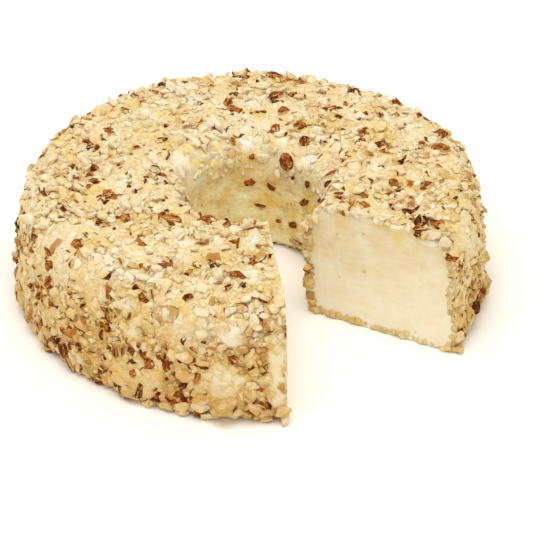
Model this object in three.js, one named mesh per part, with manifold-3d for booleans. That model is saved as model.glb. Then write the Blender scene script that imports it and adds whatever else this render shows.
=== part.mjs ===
import * as THREE from "three";
import { ConvexGeometry } from "three/addons/geometries/ConvexGeometry.js";
import { mergeVertices } from "three/addons/utils/BufferGeometryUtils.js";
import Module from "manifold-3d";

// A ring of soft cream cheese coated in chopped almonds, with one wedge cut out.
// Millimetres, +Z up, the ring's axis on Z and its flat foot on z = 0.

// Ring, measured to the tips of the chopped almonds
const OUTER_RADIUS = 100;
const HEIGHT = 56.4;
const HOLE_RADIUS = 27.7;
// The outer wall narrows by this much from foot to shoulder
const WALL_LEAN = 3.1;
// The hole is this much wider at its foot
const HOLE_FLARE = 1.4;
const OUTER_SHOULDER_RADIUS = 13.6;
const HOLE_SHOULDER_RADIUS = 15.2;
const FOOT_RADIUS = 6.6;

// The two knife cuts meet at one point in the hole
const CUT_MEET_X = 2.5;
const CUT_MEET_Y = -9.1;
const LEFT_CUT_DEGREES = -83;
const RIGHT_CUT_DEGREES = -28;
const CUT_OVERRUN = 20;

// Coat of chopped almonds: small pieces are bumps of their size, large pieces are pressed in one by one
const COAT_RISE = 1.3;
const BUMP_SPACING = 6.0;
const BUMP_HEIGHT = 1.15;
const BUMP_SHIFT = 0.3;
const PIECE_COUNT = 250;
const LONGEST_PIECE = 9.6;
const SHORTEST_PIECE = 5.6;
// Lengths fall quickly from the longest and then slowly to the shortest
const LENGTH_FALL = 0.6;
const LEAST_WIDTH_SHARE = 0.6;
const WIDTH_SPREAD = 0.25;
const LEAST_THICKNESS_SHARE = 0.42;
const THICKNESS_SPREAD = 0.14;
// Pieces keep this share of the section clear at the hole's foot and at the outer foot
const FOOT_MARGIN = 0.02;
const PIECE_TRIES = 14;
const PIECE_SINK = 0.05;
const PIECE_TILT = 0.25;
const CORNER_LEAST = 0.62;
const GROUND_GAP = 0.25;
const BUMP_SEED = 20417;
const PLACE_SEED = 7351;
const PIECE_SEED = 46309;

// Places where the wall bulges or falls in: direction and half width in degrees, and the amount
const BULGES = [
  [8, 9, -0.6],
  [30, 12, 0.9],
  [72, 9, -0.8],
  [122, 9, -1.0],
  [160, 9, -1.0],
  [188, 14, 1.1],
  [222, 14, -1.0],
  [266, 13, 1.0],
];
const TOP_WAVE = 0.45;

// Pieces that hang over the edge of the right cut: direction in degrees, way along the section from
// the hole's foot as a share, length, width, thickness, and turn in degrees away from the ring's run
const OVERHANGING_PIECES = [
  [-33, 0.6, 9.2, 7.0, 4.2, 60],
  [-32.4, 0.7, 6.0, 4.0, 3.8, 150],
];

const DEGREE = Math.PI / 180;
const FULL_TURN = 2 * Math.PI;
const wasm = await Module();
wasm.setup();

function seededRandom(seed) {
  let state = seed >>> 0;
  return () => {
    state = (state + 0x6d2b79f5) >>> 0;
    let t = state;
    t = Math.imul(t ^ (t >>> 15), t | 1);
    t ^= t + Math.imul(t ^ (t >>> 7), t | 61);
    return ((t ^ (t >>> 14)) >>> 0) / 4294967296;
  };
}

function solidOf(geometry) {
  const bare = geometry.clone();
  bare.deleteAttribute("normal");
  bare.deleteAttribute("uv");
  const merged = mergeVertices(bare, 1e-4);
  return new wasm.Manifold(
    new wasm.Mesh({
      numProp: 3,
      vertProperties: new Float32Array(merged.attributes.position.array),
      triVerts: new Uint32Array(merged.index.array),
    }),
  );
}

function geometryOf(solid) {
  const mesh = solid.getMesh();
  const geometry = new THREE.BufferGeometry();
  geometry.setAttribute("position", new THREE.BufferAttribute(new Float32Array(mesh.vertProperties), 3));
  geometry.setIndex(new THREE.BufferAttribute(new Uint32Array(mesh.triVerts), 1));
  geometry.computeVertexNormals();
  return geometry;
}

// Section of the ring under the tips of the coat, from the hole's foot over the top to the outer foot
function sectionPath() {
  const inner = HOLE_RADIUS + COAT_RISE;
  const outer = OUTER_RADIUS - COAT_RISE;
  const top = HEIGHT - COAT_RISE;
  const innerFootX = inner + HOLE_FLARE + FOOT_RADIUS;
  const outerFootX = outer - FOOT_RADIUS;
  const innerShoulderX = inner + HOLE_SHOULDER_RADIUS;
  const outerShoulderX = outer - WALL_LEAN - OUTER_SHOULDER_RADIUS;
  const path = new THREE.Path();
  const arc = (x, z, radius, from, to) => path.absarc(x, z, radius, from * DEGREE, to * DEGREE, true);
  arc(innerFootX, FOOT_RADIUS, FOOT_RADIUS, -90, -180);
  arc(innerShoulderX, top - HOLE_SHOULDER_RADIUS, HOLE_SHOULDER_RADIUS, 180, 90);
  arc(outerShoulderX, top - OUTER_SHOULDER_RADIUS, OUTER_SHOULDER_RADIUS, 90, 0);
  arc(outerFootX, FOOT_RADIUS, FOOT_RADIUS, 0, -90);
  return path;
}

const SECTION = sectionPath();
const SECTION_LENGTH = SECTION.getLength();

// Point, outward normal and upward run of the section at a share of its length
function sectionAt(share) {
  const point = SECTION.getPointAt(share);
  const along = SECTION.getTangentAt(share);
  return { r: point.x, z: point.y, along, out: new THREE.Vector2(-along.y, along.x) };
}

// How far the surface stands out of the even ring at one place
function unevenness(angle, outR, outZ) {
  let bulge = 0;
  for (const [degrees, width, amount] of BULGES) {
    const turn = Math.atan2(Math.sin(angle - degrees * DEGREE), Math.cos(angle - degrees * DEGREE));
    bulge += amount * Math.exp(-0.5 * (turn / (width * DEGREE)) ** 2);
  }
  const wave = Math.sin(3 * angle + 0.7) + 0.6 * Math.sin(5 * angle + 2.1);
  return bulge * Math.max(outR, 0) + TOP_WAVE * wave * Math.max(outZ, 0);
}

function surfacePoint(angle, share, rise) {
  const at = sectionAt(share);
  const lift = rise + unevenness(angle, at.out.x, at.out.y);
  const r = at.r + at.out.x * lift;
  return new THREE.Vector3(r * Math.cos(angle), r * Math.sin(angle), at.z + at.out.y * lift);
}

// Body whose surface has a bump or dip at each point of an uneven net, flat under its foot
function bumpyRing() {
  const random = seededRandom(BUMP_SEED);
  const rowCount = Math.round(SECTION_LENGTH / BUMP_SPACING);
  const positions = [];
  const rows = [];
  for (let row = 0; row <= rowCount; row += 1) {
    const share = row / rowCount;
    const count = Math.round((FULL_TURN * sectionAt(share).r) / BUMP_SPACING);
    const onGround = row === 0 || row === rowCount;
    const points = [];
    for (let i = 0; i < count; i += 1) {
      const turn = (i + 0.5 * (row % 2) + BUMP_SHIFT * (2 * random() - 1)) / count;
      const shift = onGround ? 0 : (BUMP_SHIFT * (2 * random() - 1)) / rowCount;
      const rise = onGround ? 0 : BUMP_HEIGHT * (2 * random() - 1);
      const placed = Math.min(Math.max(share + shift, 0), 1);
      const point = surfacePoint(turn * FULL_TURN, placed, rise);
      point.z = onGround ? 0 : Math.max(point.z, GROUND_GAP);
      points.push({ turn, index: positions.length / 3 });
      positions.push(point.x, point.y, point.z);
    }
    rows.push(points);
  }
  const faces = [];
  for (let row = 0; row < rows.length; row += 1) {
    joinRows(rows[row], rows[(row + 1) % rows.length], faces);
  }
  const geometry = new THREE.BufferGeometry();
  geometry.setAttribute("position", new THREE.Float32BufferAttribute(positions, 3));
  geometry.setIndex(faces);
  return solidOf(geometry);
}

// Triangles between two closed rows of points that may differ in number
function joinRows(near, far, faces) {
  const turnOf = (points, i) => points[i % points.length].turn + Math.floor(i / points.length);
  let i = 0;
  let j = 0;
  while (i < near.length || j < far.length) {
    const nextNear = i < near.length ? turnOf(near, i + 1) : Infinity;
    const nextFar = j < far.length ? turnOf(far, j + 1) : Infinity;
    const a = near[i % near.length].index;
    const b = far[j % far.length].index;
    if (nextNear <= nextFar) {
      faces.push(a, b, near[(i + 1) % near.length].index);
      i += 1;
    } else {
      faces.push(a, b, far[(j + 1) % far.length].index);
      j += 1;
    }
  }
}

// A chopped piece of almond: a block with its corners moved and two of them cut off
function almondPiece(length, width, thickness, random) {
  const size = [length, width, thickness];
  const firstCut = Math.floor(random() * 8);
  const secondCut = (firstCut + 1 + Math.floor(random() * 7)) % 8;
  const points = [];
  for (let corner = 0; corner < 8; corner += 1) {
    const signs = [corner & 1 ? 1 : -1, corner & 2 ? 1 : -1, corner & 4 ? 1 : -1];
    const reaches = size.map((side) => 0.5 * side * (CORNER_LEAST + (1 - CORNER_LEAST) * random()));
    if (corner !== firstCut && corner !== secondCut) {
      points.push(new THREE.Vector3(...reaches.map((reach, axis) => signs[axis] * reach)));
    }
  }
  return new ConvexGeometry(points);
}

// Sets a piece on the surface, lying flat but for a tilt, sunk in the cheese by about half
function placedPiece(place, random) {
  const { angle, share, turn, length, width, thickness } = place;
  const geometry = almondPiece(length, width, thickness, random);
  const at = sectionAt(share);
  const out = new THREE.Vector3(at.out.x * Math.cos(angle), at.out.x * Math.sin(angle), at.out.y);
  const round = new THREE.Vector3(-Math.sin(angle), Math.cos(angle), 0);
  const across = new THREE.Vector3().crossVectors(out, round);
  const frame = new THREE.Matrix4().makeBasis(round, across, out);
  const tiltX = PIECE_TILT * (2 * random() - 1);
  const tiltY = PIECE_TILT * (2 * random() - 1);
  const lean = new THREE.Matrix4().makeRotationFromEuler(new THREE.Euler(tiltX, tiltY, turn, "ZXY"));
  geometry.applyMatrix4(lean).applyMatrix4(frame);
  const centre = surfacePoint(angle, share, -PIECE_SINK * thickness);
  geometry.translate(centre.x, centre.y, centre.z);
  geometry.computeBoundingBox();
  const low = geometry.boundingBox.min.z;
  if (low < GROUND_GAP) {
    geometry.translate(0, 0, GROUND_GAP - low);
  }
  return solidOf(geometry);
}

// A listed piece as a place on the surface
function listedPlace([degrees, share, length, width, thickness, turn]) {
  return { angle: degrees * DEGREE, share, length, width, thickness, turn: turn * DEGREE };
}

// Places for the pieces, the largest first, each as far from the others as a few tries allow
function piecePlaces() {
  const random = seededRandom(PLACE_SEED);
  const places = [];
  const gapFrom = LEFT_CUT_DEGREES * DEGREE;
  const gapTo = RIGHT_CUT_DEGREES * DEGREE;
  for (let n = 0; n < PIECE_COUNT; n += 1) {
    const fall = Math.pow(n / PIECE_COUNT, LENGTH_FALL);
    const length = LONGEST_PIECE + (SHORTEST_PIECE - LONGEST_PIECE) * fall;
    const width = length * (LEAST_WIDTH_SHARE + WIDTH_SPREAD * random());
    const thickness = length * (LEAST_THICKNESS_SHARE + THICKNESS_SPREAD * random());
    let best = null;
    for (let tries = 0; tries < PIECE_TRIES; ) {
      const angle = random() * FULL_TURN;
      const share = FOOT_MARGIN + (1 - 2 * FOOT_MARGIN) * random();
      const keep = random() < sectionAt(share).r / OUTER_RADIUS;
      const turned = Math.atan2(Math.sin(angle), Math.cos(angle));
      if (keep && !(turned > gapFrom && turned < gapTo)) {
        const centre = surfacePoint(angle, share, 0);
        const gaps = places.map((other) => other.centre.distanceTo(centre) - 0.5 * (other.length + length));
        const room = Math.min(...gaps);
        if (!best || room > best.room) {
          best = { angle, share, length, width, thickness, centre, room };
        }
        tries += 1;
      }
    }
    places.push({ ...best, turn: random() * Math.PI });
  }
  return places;
}

// The wedge that is cut out, as a prism over its triangle seen from above
function cutWedge() {
  const reach = OUTER_RADIUS + CUT_OVERRUN;
  const outline = new THREE.Shape();
  outline.moveTo(CUT_MEET_X, CUT_MEET_Y);
  const lineOut = (degrees, length) => {
    const angle = degrees * DEGREE;
    outline.lineTo(CUT_MEET_X + length * Math.cos(angle), CUT_MEET_Y + length * Math.sin(angle));
  };
  lineOut(LEFT_CUT_DEGREES, reach);
  lineOut(0.5 * (LEFT_CUT_DEGREES + RIGHT_CUT_DEGREES), 2 * reach);
  lineOut(RIGHT_CUT_DEGREES, reach);
  outline.closePath();
  const prism = new THREE.ExtrudeGeometry(outline, { depth: HEIGHT + 2 * CUT_OVERRUN, bevelEnabled: false });
  prism.translate(0, 0, -CUT_OVERRUN);
  return solidOf(prism);
}

// The largest body of a solid, without any scraps that a cut leaves loose
function mainBody(solid) {
  const bodies = solid.decompose();
  return bodies.reduce((best, body) => (body.volume() > best.volume() ? body : best));
}

function coatedRing() {
  const random = seededRandom(PIECE_SEED);
  const inPlace = piecePlaces().map((place) => placedPiece(place, random));
  const overhanging = OVERHANGING_PIECES.map(listedPlace).map((place) => placedPiece(place, random));
  const whole = inPlace.reduce((body, piece) => body.add(piece), bumpyRing());
  const cut = whole.subtract(cutWedge());
  return geometryOf(mainBody(overhanging.reduce((body, piece) => body.add(piece), cut)));
}

const almondCoat = new THREE.MeshStandardMaterial({ color: 0xe2c493, roughness: 0.8, metalness: 0 });
const cheese = new THREE.Mesh(coatedRing(), almondCoat);
cheese.name = "almond_cream_cheese";

const group = new THREE.Group();
group.name = "almond_coated_cream_cheese";
group.add(cheese);

export default group;
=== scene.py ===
"""A ring of soft cream cheese coated in chopped almonds, with one wedge cut out of it."""
import math

import bmesh
import bpy
import numpy as np
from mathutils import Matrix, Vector
from mathutils.geometry import delaunay_2d_cdt


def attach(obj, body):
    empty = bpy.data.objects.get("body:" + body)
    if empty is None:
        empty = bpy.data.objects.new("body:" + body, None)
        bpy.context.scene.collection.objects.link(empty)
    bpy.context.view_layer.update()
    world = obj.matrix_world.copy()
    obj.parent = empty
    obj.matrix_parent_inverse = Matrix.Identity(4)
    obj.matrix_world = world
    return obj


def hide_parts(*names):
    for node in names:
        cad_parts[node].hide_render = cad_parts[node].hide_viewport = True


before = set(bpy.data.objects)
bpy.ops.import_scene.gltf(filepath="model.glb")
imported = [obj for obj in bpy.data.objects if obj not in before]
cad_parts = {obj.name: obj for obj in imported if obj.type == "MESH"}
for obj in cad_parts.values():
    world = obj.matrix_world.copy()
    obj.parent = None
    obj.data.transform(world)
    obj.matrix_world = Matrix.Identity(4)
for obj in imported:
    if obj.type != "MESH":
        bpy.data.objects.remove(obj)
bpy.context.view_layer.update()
NODE = "almond_cream_cheese"
MM = 0.001
FULL_TURN = 2 * math.pi

# Ring in millimetres, measured to the tips of the chopped almonds
OUTER_RADIUS = 100.0
HEIGHT = 56.4
HOLE_RADIUS = 27.7
WALL_LEAN = 3.1
HOLE_FLARE = 1.4
OUTER_SHOULDER_RADIUS = 13.6
HOLE_SHOULDER_RADIUS = 15.2
FOOT_RADIUS = 6.6
COAT_RISE = 1.3
TOP_WAVE = 0.45
ARC_STEPS = 240
SECTION_PLACES = 6001
CUT_MEET = np.array([2.5, -9.1])
LEFT_CUT_DEGREES = -83.0
RIGHT_CUT_DEGREES = -28.0
# Each cut's direction, and -1 or 1 for the side of it that the gap lies on
CUTS = [(RIGHT_CUT_DEGREES, -1), (LEFT_CUT_DEGREES, 1)]
# Places where the wall bulges or falls in: direction and half width in degrees, and the amount
BULGES = [
    (8, 9, -0.6), (30, 12, 0.9), (72, 9, -0.8), (122, 9, -1), (160, 9, -1), (188, 14, 1.1), (222, 14, -1),
    (266, 13, 1),
]
# Clumps of almonds that stand out: direction, share, half width in millimetres, and height
CLUMPS = [
    (88, 0.6, 7.5, 2.6), (114.5, 0.6, 5.5, 1.6), (153, 0.61, 4, 1.6), (134.4, 0.6, 3.5, 1.2),
    (105, 0.6, 3.5, 0.9), (62, 0.6, 3.5, 0.7), (49.5, 0.61, 3.5, 1.3), (40.5, 0.61, 4.5, 1.6),
    (20, 0.62, 4, 1.2), (9, 0.64, 4, 1.2), (166, 0.64, 4, 1), (193, 0.86, 4, 1.4), (264, 0.93, 4, 1.6),
    (-8, 0.93, 4.5, 2),
]
CLUMP_HEIGHT = 0.75
KNOT_HEIGHT = 0.40
WALL_ROUGHNESS = 0.5
FOOT_FALL = 0.8

# Large pieces spread over the coat by the same seeded rule as the solid's
PIECE_COUNT = 250
LONGEST_PIECE = 9.6
SHORTEST_PIECE = 5.6
LENGTH_FALL = 0.6
LEAST_WIDTH_SHARE = 0.6
WIDTH_SPREAD = 0.25
LEAST_THICKNESS_SHARE = 0.42
THICKNESS_SPREAD = 0.14
FOOT_MARGIN = 0.02
PIECE_TRIES = 14
PLACE_SEED = 7351

# The pieces that stand out most: direction in degrees, way along the section from the hole's foot as a
# share, length and width in millimetres, and turn in degrees away from the direction round the ring
MARKED_PIECES = {
    "tip": [
        (59, 0.29, 9.5, 7.5, 130),
    ],
    "ridged": [
        (220, 0.87, 11, 5.5, 0), (228, 0.42, 9.5, 9, 110), (197, 0.49, 9.5, 6, 170), (91, 0.22, 6, 4, 0),
        (104, 0.33, 4.5, 2.5, 100),
    ],
    "skin": [
        (17, 0.67, 11, 5.5, 170), (75, 0.46, 10, 5, 90), (97, 0.45, 9, 5, 120), (251, 0.47, 9, 3.5, 20),
        (244, 0.59, 8.5, 6, 150), (212, 0.77, 8.5, 6.5, 160), (242, 0.36, 8, 7, 80),
        (42, 0.63, 7.5, 6, 130), (75, 0.37, 7.5, 4, 100), (-22, 0.36, 7.5, 4, 40), (61, 0.39, 7, 5.5, 50),
        (241, 0.89, 6.5, 3.5, 50), (-8, 0.56, 6, 5.5, 0), (216, 0.64, 6, 5.5, 150), (250, 0.84, 6, 5, 60),
        (243, 0.69, 6, 3.5, 150), (21, 0.49, 5.5, 5, 110), (73, 0.21, 5.5, 3.5, 120),
        (53, 0.11, 4.5, 3.5, 20), (67, 0.11, 2.5, 2.5, 100), (90, 0.29, 3, 3, 60),
    ],
    "dark": [
        (21, 0.64, 7.5, 6, 110), (189, 0.64, 8, 2, 20), (81, 0.53, 7.5, 7, 10), (-28, 0.59, 10, 7, 0),
        (38, 0.2, 7, 3.5, 30), (211, 0.55, 7, 5, 150), (84, 0.63, 6.5, 6.5, 170), (243, 0.92, 6, 3, 80),
        (-25, 0.54, 5.5, 5.5, 70), (254, 0.67, 5.5, 3.5, 10), (185, 0.52, 5.5, 4.5, 10),
        (225, 0.88, 4.5, 4, 160), (200, 0.71, 4.5, 4, 40), (83, 0.15, 5.5, 2, 170), (33, 0.26, 6, 3, 50),
    ],
    "amber": [
        (201, 0.92, 10, 7, 70), (257, 0.53, 8, 7, 80), (270, 0.76, 7, 3.5, 150), (211, 0.68, 7, 6.5, 110),
        (-21, 0.58, 7, 3.5, 0), (261, 0.77, 6, 5, 90),
    ],
    "flake": [
        (249, 0.71, 10.5, 8, 170), (273, 0.51, 8, 4, 70), (-21, 0.49, 7.5, 6.5, 50),
        (237, 0.83, 7.5, 5.5, 170), (267, 0.68, 7, 4, 10), (271, 0.93, 7, 6, 50), (50, 0.06, 7, 4, 0),
        (40, 0.05, 5.5, 4, 20), (32, 0.05, 6, 4, 170),
    ],
    "tan": [
        (264, 0.92, 9.5, 7.5, 40), (258, 0.92, 8, 6, 10), (273, 0.95, 7.5, 6, 50), (251, 0.9, 6.5, 4.5, 10),
    ],
}
# Pieces that hang over the edge of the right cut, in the same terms, with their kind
OVERHANGING_PIECES = [
    (-33.2, 0.6, 6.4, 4.6, 20, "dark"), (-32.4, 0.62, 5.2, 3.6, 100, "skin"),
    (-32.4, 0.7, 6, 4, 150, "tan"),
]
# Pieces that stand out at the foot, in the same terms, with their kind
FOOT_PIECES = [
    (250.5, 0.91, 6.2, 4.8, 10, "olive"), (253.5, 0.95, 7, 4.8, 5, "pale"),
    (258, 0.938, 8.2, 5.6, 0, "pale"), (263, 0.935, 8.6, 6.2, 20, "olive"),
    (266.7, 0.948, 5.8, 4.4, 160, "pale"), (270.5, 0.938, 8.4, 6.6, 150, "rind"),
    (273.2, 0.968, 6.4, 5.4, 70, "yellow"), (277, 0.945, 6.8, 5.8, 10, "yellow"),
    (249, 0.962, 6.6, 4.8, 0, "yellow"), (239.3, 0.948, 6.4, 6.2, 0, "olive"),
    (242.6, 0.94, 6.2, 3.2, 80, "dark"), (229.5, 0.955, 6.6, 4.6, 10, "amber"),
    (230.6, 0.925, 3.2, 2.8, 60, "dark"), (213, 0.948, 5.6, 5.2, 30, "olive"),
    (208.6, 0.94, 5.4, 5, 60, "yellow"), (199, 0.94, 7, 4.6, 80, "amber"),
]
# From this direction on, a piece at the foot hangs over the left cut's edge
FOOT_OVERHANG_DEGREES = 275
# Shape, tone, skin, thickness as a share of the width, and rise of each kind of these pieces
KIND_LOOKS = {
    "tip": ("tip", 0.35, 0.62, 0.80, 1.1),
    "ridged": ("chunk_skin", 0.55, 0.22, 0.50, 0.6),
    "skin": ("chunk_skin", 0.45, 0.50, 0.55, 0.5),
    "dark": ("chunk_skin", 0.55, 0.82, 0.55, 0.5),
    "amber": ("chunk", 1.0, 0.0, 0.60, 0.6),
    "flake": ("slice", 0.78, 0.7, 0.40, 0.8),
    "tan": ("chunk", 0.72, 0.0, 0.70, 0.6),
    "olive": ("chunk", 0.66, 0.0, 0.72, 1.1),
    "yellow": ("knob", 0.46, 0.0, 0.80, 1.1),
    "pale": ("knob", 0.12, 0.0, 0.75, 1.0),
    "rind": ("chip_edge", 0.30, 0.45, 0.80, 1.0),
}
# Pieces on the edge of the right cut: way along it, height, how far out, length, height and thickness of the
# piece, tone, skin, and whether it stands free of the knife's plane
CUT_PIECES = [
    (64.3, 50.0, -1.9, 5.8, 7.0, 5.0, 0.74, 0.0, False),
    (78.3, 54.8, 0.8, 9.6, 5.0, 5.2, 0.76, 0.0, True),
    (73.6, 54.4, 0.9, 3.2, 4.6, 3.4, 0.50, 0.7, True),
    (85.4, 53.4, 0.6, 4.8, 5.0, 4.4, 0.20, 0.0, True),
    (88.8, 47.4, 0.7, 6.6, 4.6, 4.8, 0.55, 0.6, True),
]
CUT_PIECE_TURN = 0.1
# Ridges of cream that the knife left on the right cut: way, height, half length, half height and rise
CUT_RIDGES = [(79.0, 50.8, 6.0, 2.3, 1.3), (60.5, 53.4, 9.0, 1.0, 0.7)]
# Yellow stains on the right cut: way, height, half length and half height
CUT_STAINS = [(64.2, 49.6, 3.6, 3.4), (57.5, 51.6, 4.2, 1.6)]

# Smeared cheese over the almonds: direction, share, half width in degrees, half height as a share, strength,
# and tint from 1 for white to -1 for yellow
SMEARS = [
    (241.8, 0.78, 4.2, 0.036, 1, 1), (265.2, 0.745, 3.6, 0.036, 1, 1), (263.3, 0.868, 5.2, 0.046, 0.9, 0.7),
    (275.6, 0.85, 3, 0.11, 1, 0.8), (221.5, 0.925, 4.5, 0.03, 1, 0.8), (246.2, 0.845, 2.6, 0.026, 0.6, 0.5),
    (133.5, 0.508, 10.5, 0.073, 0.6, -1), (134, 0.312, 13, 0.045, 1, -1), (112, 0.3, 12, 0.06, 0.9, -0.3),
    # The smears at 150 and 128 degrees low in the hole are whiter cheese, and their white tint is also painted
    # light where light falls on the hole's left wall.
    (150, 0.285, 16, 0.085, 1, 0.5), (128, 0.235, 14, 0.06, 0.9, 0.4), (85, 0.3, 9, 0.05, 0.7, 0.3),
    (95, 0.325, 6, 0.02, 0.9, 1), (68.5, 0.335, 9, 0.022, 1, 1), (40, 0.322, 9, 0.045, 1, 1),
    (226, 0.578, 3.2, 0.03, 0.7, 0.6), (224, 0.688, 3.4, 0.045, 0.6, 0), (232, 0.575, 4.8, 0.02, 0.7, 0.6),
    (270.5, 0.585, 4.4, 0.03, 0.9, 0.5), (256, 0.623, 4.3, 0.025, 0.8, 0.6),
    (352, 0.468, 4.6, 0.04, 0.7, 0.4), (336.5, 0.68, 4.5, 0.05, 0.5, 0), (104.5, 0.455, 8, 0.05, 0.5, -0.5),
    (23, 0.535, 6, 0.04, 0.5, 0.2), (191, 0.508, 6, 0.04, 0.5, 0.2), (208, 0.623, 4, 0.03, 0.6, 0.4),
    (52.5, 0.46, 6, 0.04, 0.5, 0), (241.4, 0.477, 4, 0.03, 0.7, 0.3), (100, 0.8, 6, 0.05, 0.9, 0.3),
    (150, 0.76, 5, 0.04, 0.9, 0.6), (20, 0.82, 6, 0.04, 0.9, 0.2), (320, 0.78, 4, 0.04, 0.8, 0.5),
    (198, 0.8, 3, 0.03, 0.6, 0), (60, 0.86, 5, 0.035, 0.9, 0.4), (125, 0.88, 4, 0.03, 0.9, 0.6),
    (350, 0.9, 4, 0.03, 0.9, 0.2),
]
# The band of smeared cheese round the hole's shoulder: share, half height as a share, strength and tint
BAND_SHARE = 0.265
BAND_HALF_HEIGHT = 0.055
BAND_STRENGTH = 0.8
BAND_TINT = -0.1

# Cream under and between the almonds
CREAM_LEVEL = -0.42
CREAM_PATCH = 0.95
CREAM_LUMP = 0.50
CREAM_GRAIN = 0.34
SMEAR_LEVEL = 0.15
SMEAR_LUMP = 0.45
SMEAR_GRAIN = 0.22
HOLE_LEVEL = -0.15
HOLE_STREAK = 0.12
HOLE_LUMP = 0.55
HOLE_GRAIN = 0.3
CREAM_FLOOR = 0.3
SECTION_STEPS = 165
ROUND_STEPS = 480
BOTTOM_STEPS = 26
FITTING_ROUNDS = 4
CUT_FACE_SPACING = 1.3
CUT_FACE_RIM = 0.9
KNIFE_MARK = 0.16
KNIFE_RIM = 3.0
CHIP_PROUD = 0.10
PROUD_SPREAD = 0.22
CREAM_SEED = 11
KNIFE_SEEDS = (61, 71)

# Half axes of a whole almond kernel, from which the pieces are chopped
KERNEL = np.array([11.0, 6.5, 4.2])
CHIP_SEED = 90217
FLOOR_GAP = 0.14
SHARP_FOLD = 0.6
FINE_EDGE = 1.7
# Chopped shapes in the order they are made: kind, how many, where in the kernel, length, width, depth or its
# least and most, fewest sides, how many numbers of sides, and settings
SHAPES = [
    ("chunk", 10, "flesh", 7.5, 5.4, 3.6, 5, 2, {"softness": 0.5, "longest_edge": FINE_EDGE}),
    ("chunk", 14, "broken", 7.5, 5.6, 4.2, 5, 3, {"crispness": (7, 12), "fineness": 3}),
    ("chunk_skin", 12, "skin", 7.0, 5.0, 2.8, 5, 2, {"softness": 0.16, "longest_edge": FINE_EDGE}),
    ("tip", 3, "end", 9.0, 7.0, 6.0, 0, 1, {"softness": 0.3, "longest_edge": FINE_EDGE}),
    ("chip", 30, "broken", 4.8, 3.7, (2.0, 3.2), 4, 3, {"crispness": (9, 18)}),
    ("chip", 20, "flesh", 4.8, 3.7, (1.9, 3.0), 4, 3, {"softness": 0.24}),
    ("bit", 14, "broken", 4.8, 3.7, (2.0, 3.0), 4, 3, {"crispness": (8, 16)}),
    ("bit", 24, "flesh", 4.8, 3.6, (1.8, 2.8), 4, 3, {}),
    ("chip_skin", 16, "skin", 4.6, 3.4, (1.4, 2.4), 4, 3, {}),
    ("chip_edge", 14, "skin", 4.6, 2.6, (2.2, 3.4), 4, 2, {"on_edge": True}),
    ("slice", 8, "slice", 7.0, 15.0, 1.8, 1, 2, {"softness": 0.2, "longest_edge": FINE_EDGE}),
    ("skin_flake", 12, "skin", 5.2, 3.2, 0.35, 4, 3, {}),
    ("crumb", 14, "flesh", 2.2, 1.7, 1.4, 3, 2, {"fineness": 2}),
    ("crumb_skin", 8, "skin", 2.0, 1.5, 0.9, 3, 2, {"fineness": 2}),
    ("knob", 5, "broken", 6.0, 5.2, 4.8, 6, 1, {"crispness": (3, 6), "fineness": 3}),
]
# Seeded layers of smaller pieces: how many, longest and shortest length, least distance as a share of their
# reach, least thickness as a share of the length, lean in degrees, and share of the pieces with skin
LAYERS = {
    "chip": (2000, 7.0, 3.8, 0.66, 0.40, 22, 0.165),
    "bit": (3300, 3.9, 2.1, 0.56, 0.42, 24, 0.185),
}
# Other seeded layers: how many, least and most length in millimetres, and share of the pieces with skin
FOOT_LAYER = (110, 5.2, 9.4, 0.3)
RIM_LAYER = (90, 3.0, 5.4, 0.22)
CRUMB_LAYER = (5000, 0.9, 2.3, 0.10)
CUT_CRUMB_LAYER = (9, 0.5, 1.5, 0.3)
UNDERSIDE_LAYER = (2600, 1.6, 5.6, 0.14)
SKIN_FLAKES = (800, 2.2, 5.0)
LARGE_SKIN_SHARE = 0.05
# From this strength on, a place counts as bare wall of the hole, or as smeared over
COVERED = 0.3
# Ways along a cut between which pieces lie
CUT_START = 26.0
CUT_END = 92.0

# View, in millimetres and degrees
CAMERA_ELEVATION = 32.517
CAMERA_DISTANCE = 1077.742
CAMERA_LENS = 169.65
SENSOR_WIDTH = 36.0
CAMERA_CENTRE = 28.2125
AIM_RIGHT = 7.510
AIM_UP = -17.45

# Light and floor, in metres and watts
WORLD_COLOUR = (1.0, 0.95, 0.81, 1.0)
WORLD_STRENGTH = 0.81
KEY_PLACE = Vector((-0.14, -0.6, 2.35))
KEY_SIZE = 2.0
KEY_POWER = 34.5
KEY_TINT = (0.97, 0.985, 1.06)
FLOOR_HALF_WIDTH = 6.0


# Noise
def lattice_value(cell, seed):
    """Evenly spread values from -1 to 1 for whole-number places."""
    mixed = cell[..., 0] * 374761393 + cell[..., 1] * 668265263 + cell[..., 2] * 2246822519 + seed * 974634777
    mixed &= 0xFFFFFFFF
    mixed = ((mixed ^ (mixed >> 13)) * 1274126177) & 0xFFFFFFFF
    return ((mixed ^ (mixed >> 16)) & 0xFFFFFF) / 0x7FFFFF - 1.0


def noise(points, size, seed):
    """Smooth noise from -1 to 1 with lumps of about one size."""
    scaled = points / size
    cell = np.floor(scaled).astype(np.int64)
    part = scaled - cell
    part = part * part * (3.0 - 2.0 * part)
    total = np.zeros(points.shape[:-1])
    for corner in range(8):
        step = np.array([corner & 1, (corner >> 1) & 1, corner >> 2])
        weight = np.prod(np.where(step == 1, part, 1.0 - part), axis=-1)
        total += weight * lattice_value(cell + step, seed)
    return total


def smooth_step(value, low, high):
    """Eases from 0 at low to 1 at high."""
    part = np.clip((value - low) / (high - low), 0.0, 1.0)
    return part * part * (3.0 - 2.0 * part)


def bell(value, width):
    """From 1 at 0 down to 0 on either side."""
    return np.exp(-0.5 * (value / width) ** 2)


def wrapped(angle):
    """The same angle from minus half a turn to half a turn."""
    return np.arctan2(np.sin(angle), np.cos(angle))


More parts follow.
